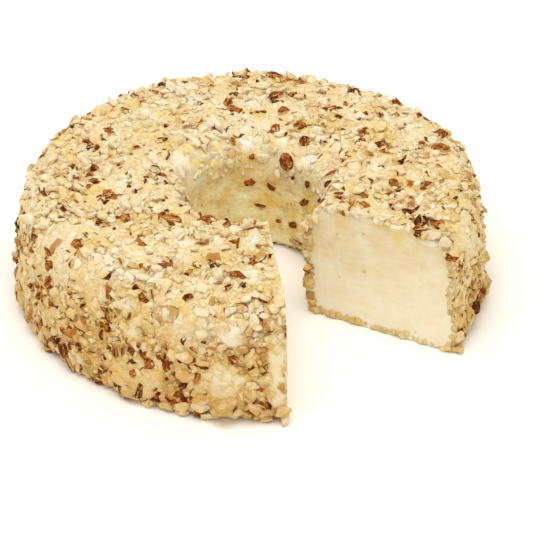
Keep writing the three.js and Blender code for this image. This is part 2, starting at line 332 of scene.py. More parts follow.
# Shape of the ring
def section_table():
    """Radius, height and outward direction of the section, evenly spaced from the hole's foot outwards."""
    inner = HOLE_RADIUS + COAT_RISE
    outer = OUTER_RADIUS - COAT_RISE
    top = HEIGHT - COAT_RISE
    arcs = [
        (inner + HOLE_FLARE + FOOT_RADIUS, FOOT_RADIUS, FOOT_RADIUS, 270),
        (inner + HOLE_SHOULDER_RADIUS, top - HOLE_SHOULDER_RADIUS, HOLE_SHOULDER_RADIUS, 180),
        (outer - WALL_LEAN - OUTER_SHOULDER_RADIUS, top - OUTER_SHOULDER_RADIUS, OUTER_SHOULDER_RADIUS, 90),
        (outer - FOOT_RADIUS, FOOT_RADIUS, FOOT_RADIUS, 0),
    ]
    corners = []
    for centre_r, centre_z, radius, start in arcs:
        turn = np.radians(np.linspace(start, start - 90, ARC_STEPS))
        corners.append(np.column_stack([centre_r + radius * np.cos(turn), centre_z + radius * np.sin(turn)]))
    corners = np.concatenate(corners)
    way = np.concatenate([[0.0], np.cumsum(np.hypot(*np.diff(corners, axis=0).T))])
    share = np.linspace(0.0, 1.0, SECTION_PLACES)
    r, z = (np.interp(share * way[-1], way, column) for column in corners.T)
    along = np.column_stack([np.gradient(r), np.gradient(z)])
    along /= np.linalg.norm(along, axis=1)[:, None]
    return share, r, z, -along[:, 1], along[:, 0]


SHARES, *SECTION = section_table()


def section_at(share):
    """Radius, height and outward direction at shares of the section's length."""
    return [np.interp(share, SHARES, column) for column in SECTION]


def unevenness(angle, out_r, out_z):
    """How far the surface stands out of the even ring."""
    bulge = np.zeros_like(angle)
    for degrees, width, amount in BULGES:
        bulge += amount * bell(wrapped(angle - math.radians(degrees)), math.radians(width))
    wave = np.sin(3 * angle + 0.7) + 0.6 * np.sin(5 * angle + 2.1)
    return bulge * np.maximum(out_r, 0) + TOP_WAVE * wave * np.maximum(out_z, 0)


def even_surface(angle, share, rise):
    """Points that stand out of the ring's surface by a rise, and its outward directions there."""
    angle, share, rise = np.broadcast_arrays(np.asarray(angle, float), share, rise)
    r, z, out_r, out_z = section_at(share)
    lift = rise + unevenness(angle, out_r, out_z)
    r = r + out_r * lift
    points = np.stack([r * np.cos(angle), r * np.sin(angle), z + out_z * lift], axis=-1)
    return points, np.stack([out_r * np.cos(angle), out_r * np.sin(angle), out_z], axis=-1)


def clump_rise(angle, share, points):
    """How far clumps of almonds stand out of the surface, and how far it falls in between them."""
    rise = CLUMP_HEIGHT * noise(points, 8.5, 301) + KNOT_HEIGHT * noise(points, 4.6, 302)
    for degrees, middle, half_width, height in CLUMPS:
        centre = even_surface(math.radians(degrees), middle, 0.0)[0]
        away = np.linalg.norm(points - centre, axis=-1) / half_width
        rise = rise + height * np.exp(-1.2 * away**2)
    rise = rise * (1.0 + WALL_ROUGHNESS * smooth_step(share, 0.62, 0.72))
    rise = rise - FOOT_FALL * smooth_step(share, 0.90, 0.95)
    calm = smooth_step(share, 0.03, 0.10) * (1.0 - smooth_step(share, 0.955, 0.995))
    return rise * calm * (1.0 - 0.75 * hole_strength(angle, share))


def surface(angle, share, rise=0.0):
    """Points that stand out of the clumped coat by a rise, and the ring's outward directions there."""
    angle, share, rise = np.broadcast_arrays(np.asarray(angle, float), share, rise)
    base = even_surface(angle, share, 0.0)[0]
    return even_surface(angle, share, rise + clump_rise(angle, share, base))


def cut_direction(degrees):
    """Direction of a cut seen from above, and the direction to its left."""
    turn = math.radians(degrees)
    return np.array([math.cos(turn), math.sin(turn)]), np.array([-math.sin(turn), math.cos(turn)])


def gap_depths(points):
    """How far points lie past the right cut and past the left cut; both are positive in the gap alone."""
    offset = points[..., :2] - CUT_MEET
    return [side * (offset @ cut_direction(degrees)[1]) for degrees, side in CUTS]


def kept_angles(radius):
    """Angles of the right cut and of the left cut at a radius, going round the ring from one to the other."""
    angles = []
    for (degrees, _), whole_turn in zip(CUTS, (0.0, FULL_TURN)):
        offset = CUT_MEET @ cut_direction(degrees)[1]
        angles.append(math.radians(degrees) + np.arcsin(offset / radius) + whole_turn)
    return angles


def patch_strength(points):
    """How thickly cream is worked in among the almonds, from 0 to 1."""
    return smooth_step(noise(points, 15.0, 511) + 0.5 * noise(points, 6.0, 512), -0.55, 0.70)


def smears(angle, share, points):
    """How fully smeared cheese covers the almonds, and its tint, from 1 for white to -1 for yellow."""
    ragged = 0.65 * noise(points, 4.5, 501) + 0.4 * noise(points, 1.8, 502)
    band = 1.0 - ((share - BAND_SHARE) / BAND_HALF_HEIGHT) ** 2
    strength = BAND_STRENGTH * smooth_step(band + ragged, 0.0, 0.7)
    tint = BAND_TINT * strength
    for degrees, middle, half_width, half_height, amount, own_tint in SMEARS:
        turn = wrapped(angle - math.radians(degrees)) / math.radians(half_width)
        inside = 1.0 - turn**2 - ((share - middle) / half_height) ** 2 + ragged
        own = amount * smooth_step(inside, 0.0, 0.7)
        tint = np.where(own > strength, own * own_tint, tint)
        strength = np.maximum(strength, own)
    return strength, tint


def hole_strength(angle, share):
    """How bare and smooth the far wall of the hole is, from 0 to 1."""
    low = 1.0 - smooth_step(share, 0.19, 0.27)
    off_foot = smooth_step(share, 0.01, 0.045)
    turn = wrapped(angle - math.radians(72))
    far = 1.0 - smooth_step(np.abs(turn), math.radians(68), math.radians(100))
    return low * off_foot * (0.35 + 0.65 * far)


# Meshes
def add_object(name, data):
    """Adds an object to the scene."""
    thing = bpy.data.objects.new(name, data)
    bpy.context.scene.collection.objects.link(thing)
    return thing


def build_mesh(name, points, triangles, vectors):
    """Mesh of triangles with a vector for each point under each label."""
    mesh = bpy.data.meshes.new(name)
    mesh.vertices.add(len(points))
    mesh.vertices.foreach_set("co", np.asarray(points, dtype=np.float32).ravel())
    mesh.loops.add(triangles.size)
    mesh.loops.foreach_set("vertex_index", triangles.astype(np.int32).ravel())
    mesh.polygons.add(len(triangles))
    mesh.polygons.foreach_set("loop_start", np.arange(0, triangles.size, 3, dtype=np.int32))
    mesh.update(calc_edges=True)
    for label, values in vectors.items():
        attribute = mesh.attributes.new(label, "FLOAT_VECTOR", "POINT")
        attribute.data.foreach_set("vector", np.asarray(values, dtype=np.float32).ravel())
    return mesh


def add_piece(name, points, triangles, vectors, material, sharp_degrees):
    """Adds a piece of the cheese that rides with it and stands for its solid."""
    mesh = build_mesh(name, points * MM, triangles, vectors)
    mesh.shade_smooth()
    mesh.set_sharp_from_angle(angle=math.radians(sharp_degrees))
    mesh.materials.append(material)
    piece = add_object(name, mesh)
    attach(piece, "root")
    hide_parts(NODE)


# Cream
def cream_rise(angle, share, points):
    """Height of the cream over the base surface, with its smears and the bare wall of the hole."""
    lumps = CREAM_LUMP * noise(points, 4.2, CREAM_SEED) + CREAM_GRAIN * noise(points, 1.7, CREAM_SEED + 1)
    patch = patch_strength(points)
    rough = CREAM_LEVEL + CREAM_PATCH * patch + lumps
    smear, tint = smears(angle, share, points)
    smeared = SMEAR_LEVEL + SMEAR_LUMP * noise(points, 5.0, CREAM_SEED + 2)
    smeared = smeared + SMEAR_GRAIN * noise(points, 2.3, CREAM_SEED + 3)
    hole = hole_strength(angle, share)
    wall = HOLE_LEVEL + HOLE_STREAK * noise(points * np.array([1.0, 1.0, 5.0]), 6.0, CREAM_SEED + 4)
    wall = wall + HOLE_LUMP * noise(points, 6.0, CREAM_SEED + 5)
    wall = wall + HOLE_GRAIN * noise(points, 2.6, CREAM_SEED + 7)
    level = rough + (smeared - rough) * smear
    return level + (np.maximum(wall, level) - level) * hole, np.maximum(smear, 0.55 * patch), hole, tint


def cream_rows():
    """Points of the cream along its section and then under its foot, row by row, with their look and tint."""
    share = np.linspace(0.0, 1.0, SECTION_STEPS + 1)[:, None]
    turn = np.linspace(0.0, 1.0, ROUND_STEPS + 1)[None, :]
    radius = section_at(share)[0]
    for _ in range(FITTING_ROUNDS):
        low, high = kept_angles(radius)
        angle = low + (high - low) * turn
        rise, smear, hole, tint = cream_rise(angle, share, even_surface(angle, share, 0.0)[0])
        points = surface(angle, share, rise)[0]
        radius = np.hypot(points[..., 0], points[..., 1])
    way = (np.arange(1, BOTTOM_STEPS) / BOTTOM_STEPS)[:, None, None]
    bottom = points[-1] * (1.0 - way) + points[0] * way
    bottom[..., 2] += 0.25 * noise(bottom, 3.5, CREAM_SEED + 6) * np.sin(math.pi * way[..., 0])
    points = np.concatenate([points, bottom])
    points[..., 2] = np.maximum(points[..., 2], CREAM_FLOOR)
    nothing = np.zeros_like(smear)
    look = np.stack([smear, hole, nothing], axis=-1)
    tint = np.stack([np.maximum(tint, 0.0), np.maximum(-tint, 0.0), nothing], axis=-1)
    return points, *(np.concatenate([values, np.zeros_like(bottom)]) for values in (look, tint))


def cut_face(loop, degrees):
    """Points, their distances from the edge, and triangles inside a loop of points that lies on a cut.

    The loop and the triangles go anticlockwise along the cut and up.
    """
    flat = np.column_stack([(loop[:, :2] - CUT_MEET) @ cut_direction(degrees)[0], loop[:, 2]])
    low = flat.min(axis=0)
    high = flat.max(axis=0)
    rows = np.arange(low[1], high[1], CUT_FACE_SPACING * math.sqrt(0.75))
    columns = np.arange(low[0], high[0], CUT_FACE_SPACING)
    grid = np.array([(c + 0.5 * CUT_FACE_SPACING * (i % 2), r) for i, r in enumerate(rows) for c in columns])
    level = grid[:, 1:]
    end = np.roll(flat, -1, axis=0)
    crossing = (flat[:, 1] > level) != (end[:, 1] > level)
    climb = end[:, 1] - flat[:, 1]
    climb = np.where(np.abs(climb) < 1e-9, 1e-9, climb)
    reach = flat[:, 0] + (level - flat[:, 1]) / climb * (end[:, 0] - flat[:, 0])
    inside = np.sum(crossing & (grid[:, :1] < reach), axis=1) % 2 == 1
    rim = np.min(np.linalg.norm(grid[:, None] - flat[None], axis=2), axis=1)
    inside &= rim > CUT_FACE_RIM
    everything = np.concatenate([flat, grid[inside]])
    count = len(flat)
    edges = [(i, (i + 1) % count) for i in range(count)]
    _, _, faces, origin, _, _ = delaunay_2d_cdt([Vector(p) for p in everything], edges, [], 1, 1e-6)
    triangles = np.array([[origin[i][0] for i in face] for face in faces])
    corner = everything[triangles]
    side = corner[:, 1] - corner[:, 0]
    other = corner[:, 2] - corner[:, 0]
    clockwise = side[:, 0] * other[:, 1] - side[:, 1] * other[:, 0] < 0
    triangles[clockwise] = triangles[clockwise][:, ::-1]
    return grid[inside], rim[inside], triangles


def knife_marks(flat, seed):
    """Height of the marks that a knife leaves on a cut, at points along the cut and up."""

    def marks(length, height, number):
        stretched = [flat[:, 0] / length, flat[:, 1] / height, np.zeros(len(flat))]
        return noise(np.column_stack(stretched), 1.0, seed + number)

    ledge = smooth_step(marks(10.0, 60.0, 3), -0.05, 0.12)
    level = marks(1.1, 16.0, 0) + 0.9 * marks(24.0, 1.8, 1) + 1.6 * marks(9.0, 9.0, 2)
    return KNIFE_MARK * (level + 1.8 * ledge)


def within_oval(flat, way, height, half_way, half_height):
    """From 1 at the middle of an oval on a cut to 0 at its edge."""
    return 1.0 - ((flat[:, 0] - way) / half_way) ** 2 - ((flat[:, 1] - height) / half_height) ** 2


def cream_body(material):
    """Adds the body of cream, closed by its two cut faces."""
    rows, look, tint = cream_rows()
    index = np.arange(rows.shape[0] * rows.shape[1]).reshape(rows.shape[:2])
    following = np.roll(index, -1, axis=0)
    corners = [index[:, :-1], following[:, :-1], following[:, 1:], index[:, 1:]]
    a, b, c, d = [corner.ravel() for corner in corners]
    triangles = [np.column_stack([a, b, c]), np.column_stack([a, c, d])]
    points, looks, tints = ([values.reshape(-1, 3)] for values in (rows, look, tint))
    total = index.size
    for column, (degrees, gap_side), seed in zip((0, -1), CUTS, KNIFE_SEEDS):
        on_right = column == 0
        along, aside = cut_direction(degrees)
        loop = index[:, column]
        looks[0][loop] = (0.0, 0.0, 1.0)
        inner, rim, faces = cut_face(points[0][loop], degrees)
        raised = knife_marks(inner, seed) * smooth_step(rim, 0.0, KNIFE_RIM)
        nothing = np.zeros(len(inner))
        white = nothing
        yellow = nothing
        ragged = 0.5 * noise(np.column_stack([inner, rim]), 2.0, 88)
        for *oval, amount in CUT_RIDGES if on_right else []:
            near = smooth_step(within_oval(inner, *oval) + ragged, 0.0, 1.0)
            raised += amount * near
            white = np.maximum(white, near)
        for oval in CUT_STAINS if on_right else []:
            yellow = np.maximum(yellow, smooth_step(within_oval(inner, *oval) + ragged, 0.0, 0.6))
        placed = CUT_MEET + inner[:, :1] * along + (raised * gap_side)[:, None] * aside
        points.append(np.column_stack([placed, inner[:, 1]]))
        looks.append(np.column_stack([white, nothing, 1.0 - white]))
        tints.append(np.column_stack([white, yellow, nothing]))
        faces = np.concatenate([loop, total + np.arange(len(inner))])[faces]
        triangles.append(faces if on_right else faces[:, ::-1])
        total += len(inner)
    points, triangles, looks, tints = map(np.concatenate, (points, triangles, looks, tints))
    add_piece("cheese_cream", points, triangles, {"look": looks, "tint": tints}, material, 40)


# Chopped shapes
def bisected(body, origin, normal):
    """Cuts away what lies past a plane and closes the body again."""
    geometry = body.verts[:] + body.edges[:] + body.faces[:]
    cut = bmesh.ops.bisect_plane(body, geom=geometry, plane_co=origin, plane_no=normal, clear_outer=True)
    if any(isinstance(item, bmesh.types.BMEdge) for item in cut["geom_cut"]):
        bmesh.ops.holes_fill(body, edges=[edge for edge in body.edges if edge.is_boundary], sides=0)


def mesh_arrays(body):
    """A body's points and triangles; the body is freed."""
    points = np.array([vert.co for vert in body.verts])
    triangles = np.array([[vert.index for vert in face.verts] for face in body.faces])
    body.free()
    return points, triangles


def unit_box(points):
    """Points moved to the middle of their box, and the box's size."""
    low = points.min(axis=0)
    high = points.max(axis=0)
    return points - 0.5 * (low + high), high - low


def unit(vector):
    return vector / np.linalg.norm(vector)


def chopped_shape(rng, place, length, width, depth, sides, softness=0.0, fineness=3, longest_edge=math.inf):
    """A piece chopped out of a kernel, scaled to a unit box: its points, triangles and places in the kernel.

    place is "skin" for a piece from under the kernel's skin, skin up, "end" for its rounded end, end up,
    "slice" for a slice through the kernel with skin round its rim, and "flesh" for one from inside it.
    """
    body = bmesh.new()
    bmesh.ops.create_icosphere(body, subdivisions=fineness, radius=1.0)
    for vert in body.verts:
        vert.co = Vector(np.array(vert.co) * KERNEL)
    if place == "end":
        direction = np.array([1.0, 0.0, 0.0])
    elif place == "slice":
        direction = np.array([1.0, *rng.uniform(-0.3, 0.3, 2)])
    else:
        direction = rng.normal(size=3) * np.array([1.0, 1.0, 1.6 if place == "skin" else 1.0])
    direction = unit(direction)
    up = unit(direction / KERNEL)
    side = unit(np.array([0.0, 1.0, 0.0]) if place == "end" else np.cross(up, rng.normal(size=3)))
    basis = np.stack([side, np.cross(up, side), up])
    inside = place in ("flesh", "slice")
    if inside:
        centre = direction * KERNEL * rng.uniform(0.0, 0.3)
    else:
        centre = direction * KERNEL - up * 0.5 * depth
    planes = []
    start = rng.uniform(0.0, FULL_TURN)
    for number in range(sides):
        turn = start + FULL_TURN * (number + rng.uniform(-0.28, 0.28)) / sides
        reach = 0.5 * math.hypot(length * math.cos(turn), width * math.sin(turn)) * rng.uniform(0.82, 1.1)
        planes.append((reach, np.array([math.cos(turn), math.sin(turn), rng.uniform(-0.35, 0.35)])))
    for upward in (1.0, -1.0) if inside else (-1.0,):
        planes.append((0.5 * depth, np.array([*rng.uniform(-0.3, 0.3, 2), upward])))
    for reach, normal in planes:
        normal = unit(normal)
        bisected(body, Vector(centre + (normal * reach) @ basis), Vector(normal @ basis))
    if softness > 0.0:
        sharp = [edge for edge in body.edges if edge.calc_face_angle(0.0) > SHARP_FOLD]
        bmesh.ops.bevel(body, geom=sharp, offset=softness, segments=1, affect="EDGES", clamp_overlap=True)
        bmesh.ops.triangulate(body, faces=body.faces[:])
        long_edges = [edge for edge in body.edges if edge.calc_length() > longest_edge]
        bmesh.ops.subdivide_edges(body, edges=long_edges, cuts=1)
    bmesh.ops.triangulate(body, faces=body.faces[:])
    spots, triangles = mesh_arrays(body)
    local = (spots - centre) @ basis.T
    warp = np.stack([noise(local + shift, 1.6, 900) for shift in (0.0, 31.0, 77.0)], axis=-1)
    local += (0.18 if softness > 0.0 else 0.26) * warp
    local, size = unit_box(local)
    return local / size, triangles, spots / KERNEL


def broken_shape(rng, length, width, depth, sides, crispness, fineness=2):
    """A broken piece of flesh with softened edges, in the same form."""
    crispness = rng.uniform(*crispness)
    body = bmesh.new()
    bmesh.ops.create_icosphere(body, subdivisions=fineness, radius=1.0)
    directions, triangles = mesh_arrays(body)
    directions = directions * np.array([length, width, depth])
    directions /= np.linalg.norm(directions, axis=1)[:, None]
    normals = []
    reaches = []
    start = rng.uniform(0.0, FULL_TURN)
    for number in range(sides):
        turn = start + FULL_TURN * (number + rng.uniform(-0.3, 0.3)) / sides
        normals.append((math.cos(turn), math.sin(turn), rng.uniform(-0.5, 0.5)))
        span = math.hypot(length * math.cos(turn), width * math.sin(turn))
        reaches.append(0.5 * span * rng.uniform(0.75, 1.1))
    for up in (1.0, -1.0):
        normals.append((*rng.uniform(-0.45, 0.45, 2), up))
        reaches.append(0.5 * depth * rng.uniform(0.8, 1.15))
    normals = np.array(normals)
    normals /= np.linalg.norm(normals, axis=1)[:, None]
    facing = np.maximum(directions @ normals.T, 0.0) / np.array(reaches)
    radius = np.sum(facing**crispness, axis=1) ** (-1.0 / crispness)
    shift = rng.uniform(0.0, 50.0, 3)
    radius *= 1.0 + 0.20 * noise(directions + shift, 0.7, 911) + 0.12 * noise(directions + shift, 0.33, 912)
    points, size = unit_box(directions * radius[:, None])
    return points / size, triangles, points / KERNEL + rng.uniform(-0.3, 0.3, 3)


def make_shapes():
    """All shapes, and the numbers of those of each kind."""
    rng = np.random.default_rng(CHIP_SEED)
    shapes = []
    kinds = {}
    for kind, count, place, length, width, depth_range, fewest_sides, side_counts, settings in SHAPES:
        settings = dict(settings)
        on_edge = settings.pop("on_edge", False)
        for number in range(count):
            depth = rng.uniform(*depth_range) if isinstance(depth_range, tuple) else depth_range
            size = (length, width, depth, fewest_sides + number % side_counts)
            if place == "broken":
                points, triangles, kernel = broken_shape(rng, *size, **settings)
            else:
                points, triangles, kernel = chopped_shape(rng, place, *size, **settings)
            if on_edge:
                points = np.column_stack([points[:, 0], points[:, 2], -points[:, 1]])
            kinds.setdefault(kind, []).append(len(shapes))
            shapes.append((points, triangles, kernel))
    return shapes, kinds


# Places of the pieces
def seeded_random(seed):
    """Evenly spread values from 0 to 1, in the same order as the solid's."""
    word = 0xFFFFFFFF
    state = seed

    def draw():
        nonlocal state
        state = (state + 0x6D2B79F5) & word
        mixed = ((state ^ (state >> 15)) * (state | 1)) & word
        mixed ^= (mixed + (mixed ^ (mixed >> 7)) * (mixed | 61)) & word
        return ((mixed ^ (mixed >> 14)) & word) / (word + 1)

    return draw


def large_places():
    """Places for the large pieces: largest first, each as far from the others as a few tries allow."""
    draw = seeded_random(PLACE_SEED)
    taken = []
    reaches = []
    places = []
    for number in range(PIECE_COUNT):
        fall = (number / PIECE_COUNT) ** LENGTH_FALL
        length = LONGEST_PIECE + (SHORTEST_PIECE - LONGEST_PIECE) * fall
        width = length * (LEAST_WIDTH_SHARE + WIDTH_SPREAD * draw())
        thickness = length * (LEAST_THICKNESS_SHARE + THICKNESS_SPREAD * draw())
        best = None
        tries = 0
        while tries < PIECE_TRIES:
            angle = draw() * FULL_TURN
            share = FOOT_MARGIN + (1 - 2 * FOOT_MARGIN) * draw()
            keep = draw() < section_at(share)[0] / OUTER_RADIUS
            if keep and not LEFT_CUT_DEGREES < math.degrees(wrapped(angle)) < RIGHT_CUT_DEGREES:
                point = even_surface(angle, share, 0.0)[0]
                apart = np.linalg.norm(np.reshape(taken, (-1, 3)) - point, axis=1)
                room = np.min(apart - 0.5 * (np.array(reaches) + length), initial=math.inf)
                if best is None or room > best[0]:
                    best = (room, angle, share, point)
                tries += 1
        _, angle, share, point = best
        taken.append(tuple(point))
        reaches.append(length)
        places.append((angle, share, length, width, thickness, draw() * math.pi))
    return np.array(places)


class Crowd:
    """Keeps pieces apart on a grid of cells over their centres."""

    CELL = 6.0
    BESIDE = [(x, y, z) for x in (-1, 0, 1) for y in (-1, 0, 1) for z in (-1, 0, 1)]

    def __init__(self):
        self.cells = {}

    def cell(self, point):
        return tuple(int(value // self.CELL) for value in point)

    def has_room(self, point, reach, closeness):
        """Whether a piece's middle is far enough from those of all others."""
        x, y, z = self.cell(point)
        for dx, dy, dz in self.BESIDE:
            for other, other_reach in self.cells.get((x + dx, y + dy, z + dz), ()):
                room = closeness * (reach + other_reach)
                if sum((a - b) ** 2 for a, b in zip(point, other)) < room * room:
                    return False
        return True

    def add(self, points, reaches):
        for point, reach in zip(points, reaches):
            self.cells.setdefault(self.cell(point), []).append((point, reach))


def random_places(rng, count, overrun):
    """Places spread evenly over the coat's area, up to a little way past the two cuts."""
    angles = []
    shares = []
    while sum(len(part) for part in angles) < count:
        share = rng.random(2 * count)
        r = section_at(share)[0]
        low, high = kept_angles(r)
        angle = rng.uniform(0.0, FULL_TURN, 2 * count) - 1.2
        keep = rng.random(2 * count) < r / OUTER_RADIUS
        keep &= (angle > low - overrun / r) & (angle < high + overrun / r)
        angles.append(angle[keep])
        shares.append(share[keep])
    return np.concatenate(angles)[:count], np.concatenate(shares)[:count]


def spread(rng, crowd, count, longest, shortest, closeness):
    """Angles, shares and lengths for pieces that keep apart, the longest first."""
    angle, share = random_places(rng, 5 * count, 1.2)
    points = surface(angle, share)[0]
    smear = smears(angle, share, points)[0]
    hole = hole_strength(angle, share)
    luck = rng.random(len(angle))
    kept = []
    for i, point in enumerate(points.tolist()):
        length = longest + (shortest - longest) * (len(kept) / count) ** 0.8
        covered = luck[i] < 0.9 * smear[i] ** 2 + 0.85 * hole[i]
        if covered or (hole[i] > COVERED and length > 3.6):
            continue
        reach = 0.44 * length
        if crowd.has_room(point, reach, closeness):
            crowd.add([point], [reach])
            kept.append((i, length))
            if len(kept) == count:
                break
    picked = np.array([i for i, _ in kept])
    return angle[picked], share[picked], np.array([length for _, length in kept])


def skin_plenty(angle, share):
    """How many times more pieces keep their skin on the wall and at the foot than on the top."""
    wall = smooth_step(share, 0.60, 0.72)
    foot = smooth_step(share, 0.87, 0.93)
    return 1.0 + wall * (0.25 + 2.4 * bell(wrapped(angle - 3.0), 0.5)) + 1.7 * foot


def sunk_shade_tone(rise, bare):
    """How much more golden and darker a piece is painted where it lies deep between others: painted shade in
    the recesses of the coat.
    """
    return 0.26 * smooth_step(-rise, 0.05, 0.85) * (1.0 - bare)


# Pieces of the coat
def rotations(angles, axis):
    """Turns by angles about an axis, as matrices."""
    matrices = np.tile(np.eye(3), (len(angles), 1, 1))
    first = (axis + 1) % 3
    second = (axis + 2) % 3
    matrices[:, first, first] = np.cos(angles)
    matrices[:, second, second] = np.cos(angles)
    matrices[:, second, first] = np.sin(angles)
    matrices[:, first, second] = -np.sin(angles)
    return matrices


class Coat:
    """Lays chopped pieces by seeded draws, and joins each layer of them to one mesh."""

    FIELDS = ("centre", "round", "out", "size", "turn", "tilt", "shape", "look", "free")

    def __init__(self, material):
        self.material = material
        self.rng = np.random.default_rng(CHIP_SEED + 1)
        self.crowd = Crowd()
        self.shapes, self.kinds = make_shapes()
        self.rows = {field: [] for field in self.FIELDS}

    def choice(self, kind, count):
        """Numbers of shapes drawn from those of a kind."""
        numbers = self.kinds[kind]
        return np.array(numbers)[self.rng.integers(0, len(numbers), count)]

    def either(self, skinned, covered, bare):
        """Numbers of shapes: of one kind where a piece has skin, of another where it has none."""
        return np.where(skinned, self.choice(covered, len(skinned)), self.choice(bare, len(skinned)))

    def skin(self, skinned, low=0.3, high=1.0):
        """How dark the skin is, from 0 for none."""
        return np.where(skinned, self.rng.uniform(low, high, len(skinned)), 0.0)

    def tone(self, points, share):
        """Tones of the flesh: mostly pale, more tan towards the foot, more golden on the right-hand wall as
        painted shade there, and paler where cream is worked in.
        """
        count = len(share)
        foot = smooth_step(share, 0.62, 0.97)
        tone = self.rng.beta(1.6, 3.6, count) * (0.55 + 0.40 * foot)
        tan = self.rng.random(count) < 0.05 + 0.14 * foot
        tone = np.where(tan, self.rng.uniform(0.55, 0.95, count), tone)
        # Painted shade: the flesh on the right-hand wall is made more golden and darker, for the shade on that
        # side.
        right = bell(np.arctan2(points[:, 1], points[:, 0]), 0.5) * smooth_step(share, 0.58, 0.70)
        return np.clip(tone + 0.16 * foot + 0.30 * right, 0.0, 1.0) * (1.0 - 0.6 * patch_strength(points))

    def look(self, tone, skin):
        """Tone, skin and a value of its own for each piece."""
        return np.column_stack([tone, skin, self.rng.random(len(tone))])

    def turns(self, count):
        return self.rng.uniform(0.0, FULL_TURN, count)

    def tilts(self, count, spread_degrees):
        """Lean of each piece about its own length and width."""
        return self.rng.normal(0.0, math.radians(spread_degrees), (count, 2))

    def add(self, centre, outward, size, shape, look, lean, turn=None, free=False, along=None):
        """Adds pieces from arrays with a value for each; free ones aren't cut with the cheese.

        size is length, width and thickness; lean is an array of angles, or the spread in degrees of drawn ones.
        """
        count = len(centre)
        if turn is None:
            turn = self.turns(count)
        tilt = self.tilts(count, lean) if np.isscalar(lean) else lean
        size = np.column_stack(size)
        if along is None:
            along = np.column_stack([-centre[:, 1], centre[:, 0], np.zeros(count)])
        along = along / np.linalg.norm(along, axis=1)[:, None]
        values = (centre, along, outward, size, turn, tilt, shape, look, np.broadcast_to(free, count))
        for field, value in zip(self.FIELDS, values):
            self.rows[field].append(value)

    def join(self, name, sharp_degrees):
        """Makes one mesh of the pieces added so far, cutting those that pass a cut or the ground."""
        rows = {field: np.concatenate(self.rows[field]) for field in self.FIELDS}
        self.rows = {field: [] for field in self.FIELDS}
        frames = np.stack([rows["round"], np.cross(rows["out"], rows["round"]), rows["out"]], axis=-1)
        frames = frames @ rotations(rows["turn"], 2)
        frames = frames @ rotations(rows["tilt"][:, 0], 0) @ rotations(rows["tilt"][:, 1], 1)
        groups = {False: [], True: []}
        totals = {False: 0, True: 0}
        for number in np.unique(rows["shape"]):
            pick = rows["shape"] == number
            local, faces, kernel = self.shapes[number]
            sized = local[None] * rows["size"][pick][:, None]
            placed = rows["centre"][pick][:, None] + np.einsum("kij,kvj->kvi", frames[pick], sized)
            right, left = gap_depths(placed)
            in_gap = np.any((right > CHIP_PROUD) & (left > CHIP_PROUD), axis=1) & ~rows["free"][pick]
            centre_right, centre_left = gap_depths(rows["centre"][pick])
            trim = np.where(in_gap, np.where(centre_right < centre_left, 1, 2), 0)
            trim += np.where(np.min(placed[..., 2], axis=1) < FLOOR_GAP, 4, 0)
            for is_cut, group in groups.items():
                chosen = (trim > 0) == is_cut
                count = int(chosen.sum())
                starts = totals[is_cut] + len(local) * np.arange(count)
                totals[is_cut] += len(local) * count
                if count:
                    group.append((
                        placed[chosen].reshape(-1, 3),
                        (faces[None] + starts[:, None, None]).reshape(-1, 3),
                        np.tile(kernel, (count, 1)),
                        np.repeat(rows["look"][pick][chosen], len(local), axis=0),
                        np.repeat(trim[chosen], len(faces)),
                    ))
        points, triangles, kernel, look, _ = (np.concatenate(values) for values in zip(*groups[False]))
        if groups[True]:
            extra = trimmed(*(np.concatenate(values) for values in zip(*groups[True])))
            triangles = np.concatenate([triangles, extra[1] + len(points)])
            points, kernel, look = map(np.concatenate, zip((points, kernel, look), (extra[0], *extra[2:])))
        add_piece(name, points, triangles, {"kernel": kernel, "look": look}, self.material, sharp_degrees)


def read_back(items, label, width, number_type=np.float32):
    """Rows of three from a mesh's points, corners or attribute."""
    values = np.empty(len(items) * width, dtype=number_type)
    items.foreach_get(label, values)
    return values.reshape(-1, 3)


def trimmed(points, triangles, kernel, look, trims):
    """Cuts pieces flush with the cuts and the ground, and closes them again.

    trims has a number for each triangle: the sum of 1 for the right cut, 2 for the left and 4 for the ground.
    """
    mesh = build_mesh("trimmed", points, triangles, {"kernel": kernel, "look": look})
    marks = mesh.attributes.new("trim", "INT", "FACE")
    marks.data.foreach_set("value", trims.astype(np.int32))
    body = bmesh.new()
    body.from_mesh(mesh)
    layer = body.faces.layers.int["trim"]
    own = body.verts.layers.float_vector["look"]
    planes = []
    for bit, (degrees, side) in zip((1, 2), CUTS):
        outward = side * cut_direction(degrees)[1]
        planes.append((bit, Vector((*(CUT_MEET + CHIP_PROUD * outward), 0.0)), Vector((*outward, 0.0))))
    planes.append((4, Vector((0.0, 0.0, FLOOR_GAP)), Vector((0.0, 0.0, -1.0))))
    for bit, point, normal in planes:
        faces = [face for face in body.faces if face[layer] & bit]
        verts = {vert for face in faces for vert in face.verts}
        edges = {edge for face in faces for edge in face.edges}
        for vert in verts:
            vert.co += normal * PROUD_SPREAD * (0.5 - vert[own].z)
        geometry = [*verts, *edges, *faces]
        bmesh.ops.bisect_plane(body, geom=geometry, plane_co=point, plane_no=normal, clear_outer=True)
        rim = [edge for edge in body.edges if edge.is_boundary]
        for face in bmesh.ops.holes_fill(body, edges=rim, sides=0)["faces"]:
            face[layer] = max(other[layer] for edge in face.edges for other in edge.link_faces)
        for vert in {vert for face in body.faces if face[layer] & bit for vert in face.verts}:
            vert.co -= normal * PROUD_SPREAD * (0.5 - vert[own].z)
    bmesh.ops.recalc_face_normals(body, faces=body.faces)
    bmesh.ops.triangulate(body, faces=[face for face in body.faces if len(face.verts) > 3])
    body.to_mesh(mesh)
    body.free()
    points = read_back(mesh.vertices, "co", 3)
    triangles = read_back(mesh.loops, "vertex_index", 1, np.int32)
    kernel, look = (read_back(mesh.attributes[label].data, "vector", 3) for label in ("kernel", "look"))
    bpy.data.meshes.remove(mesh)
    return points, triangles, kernel, look


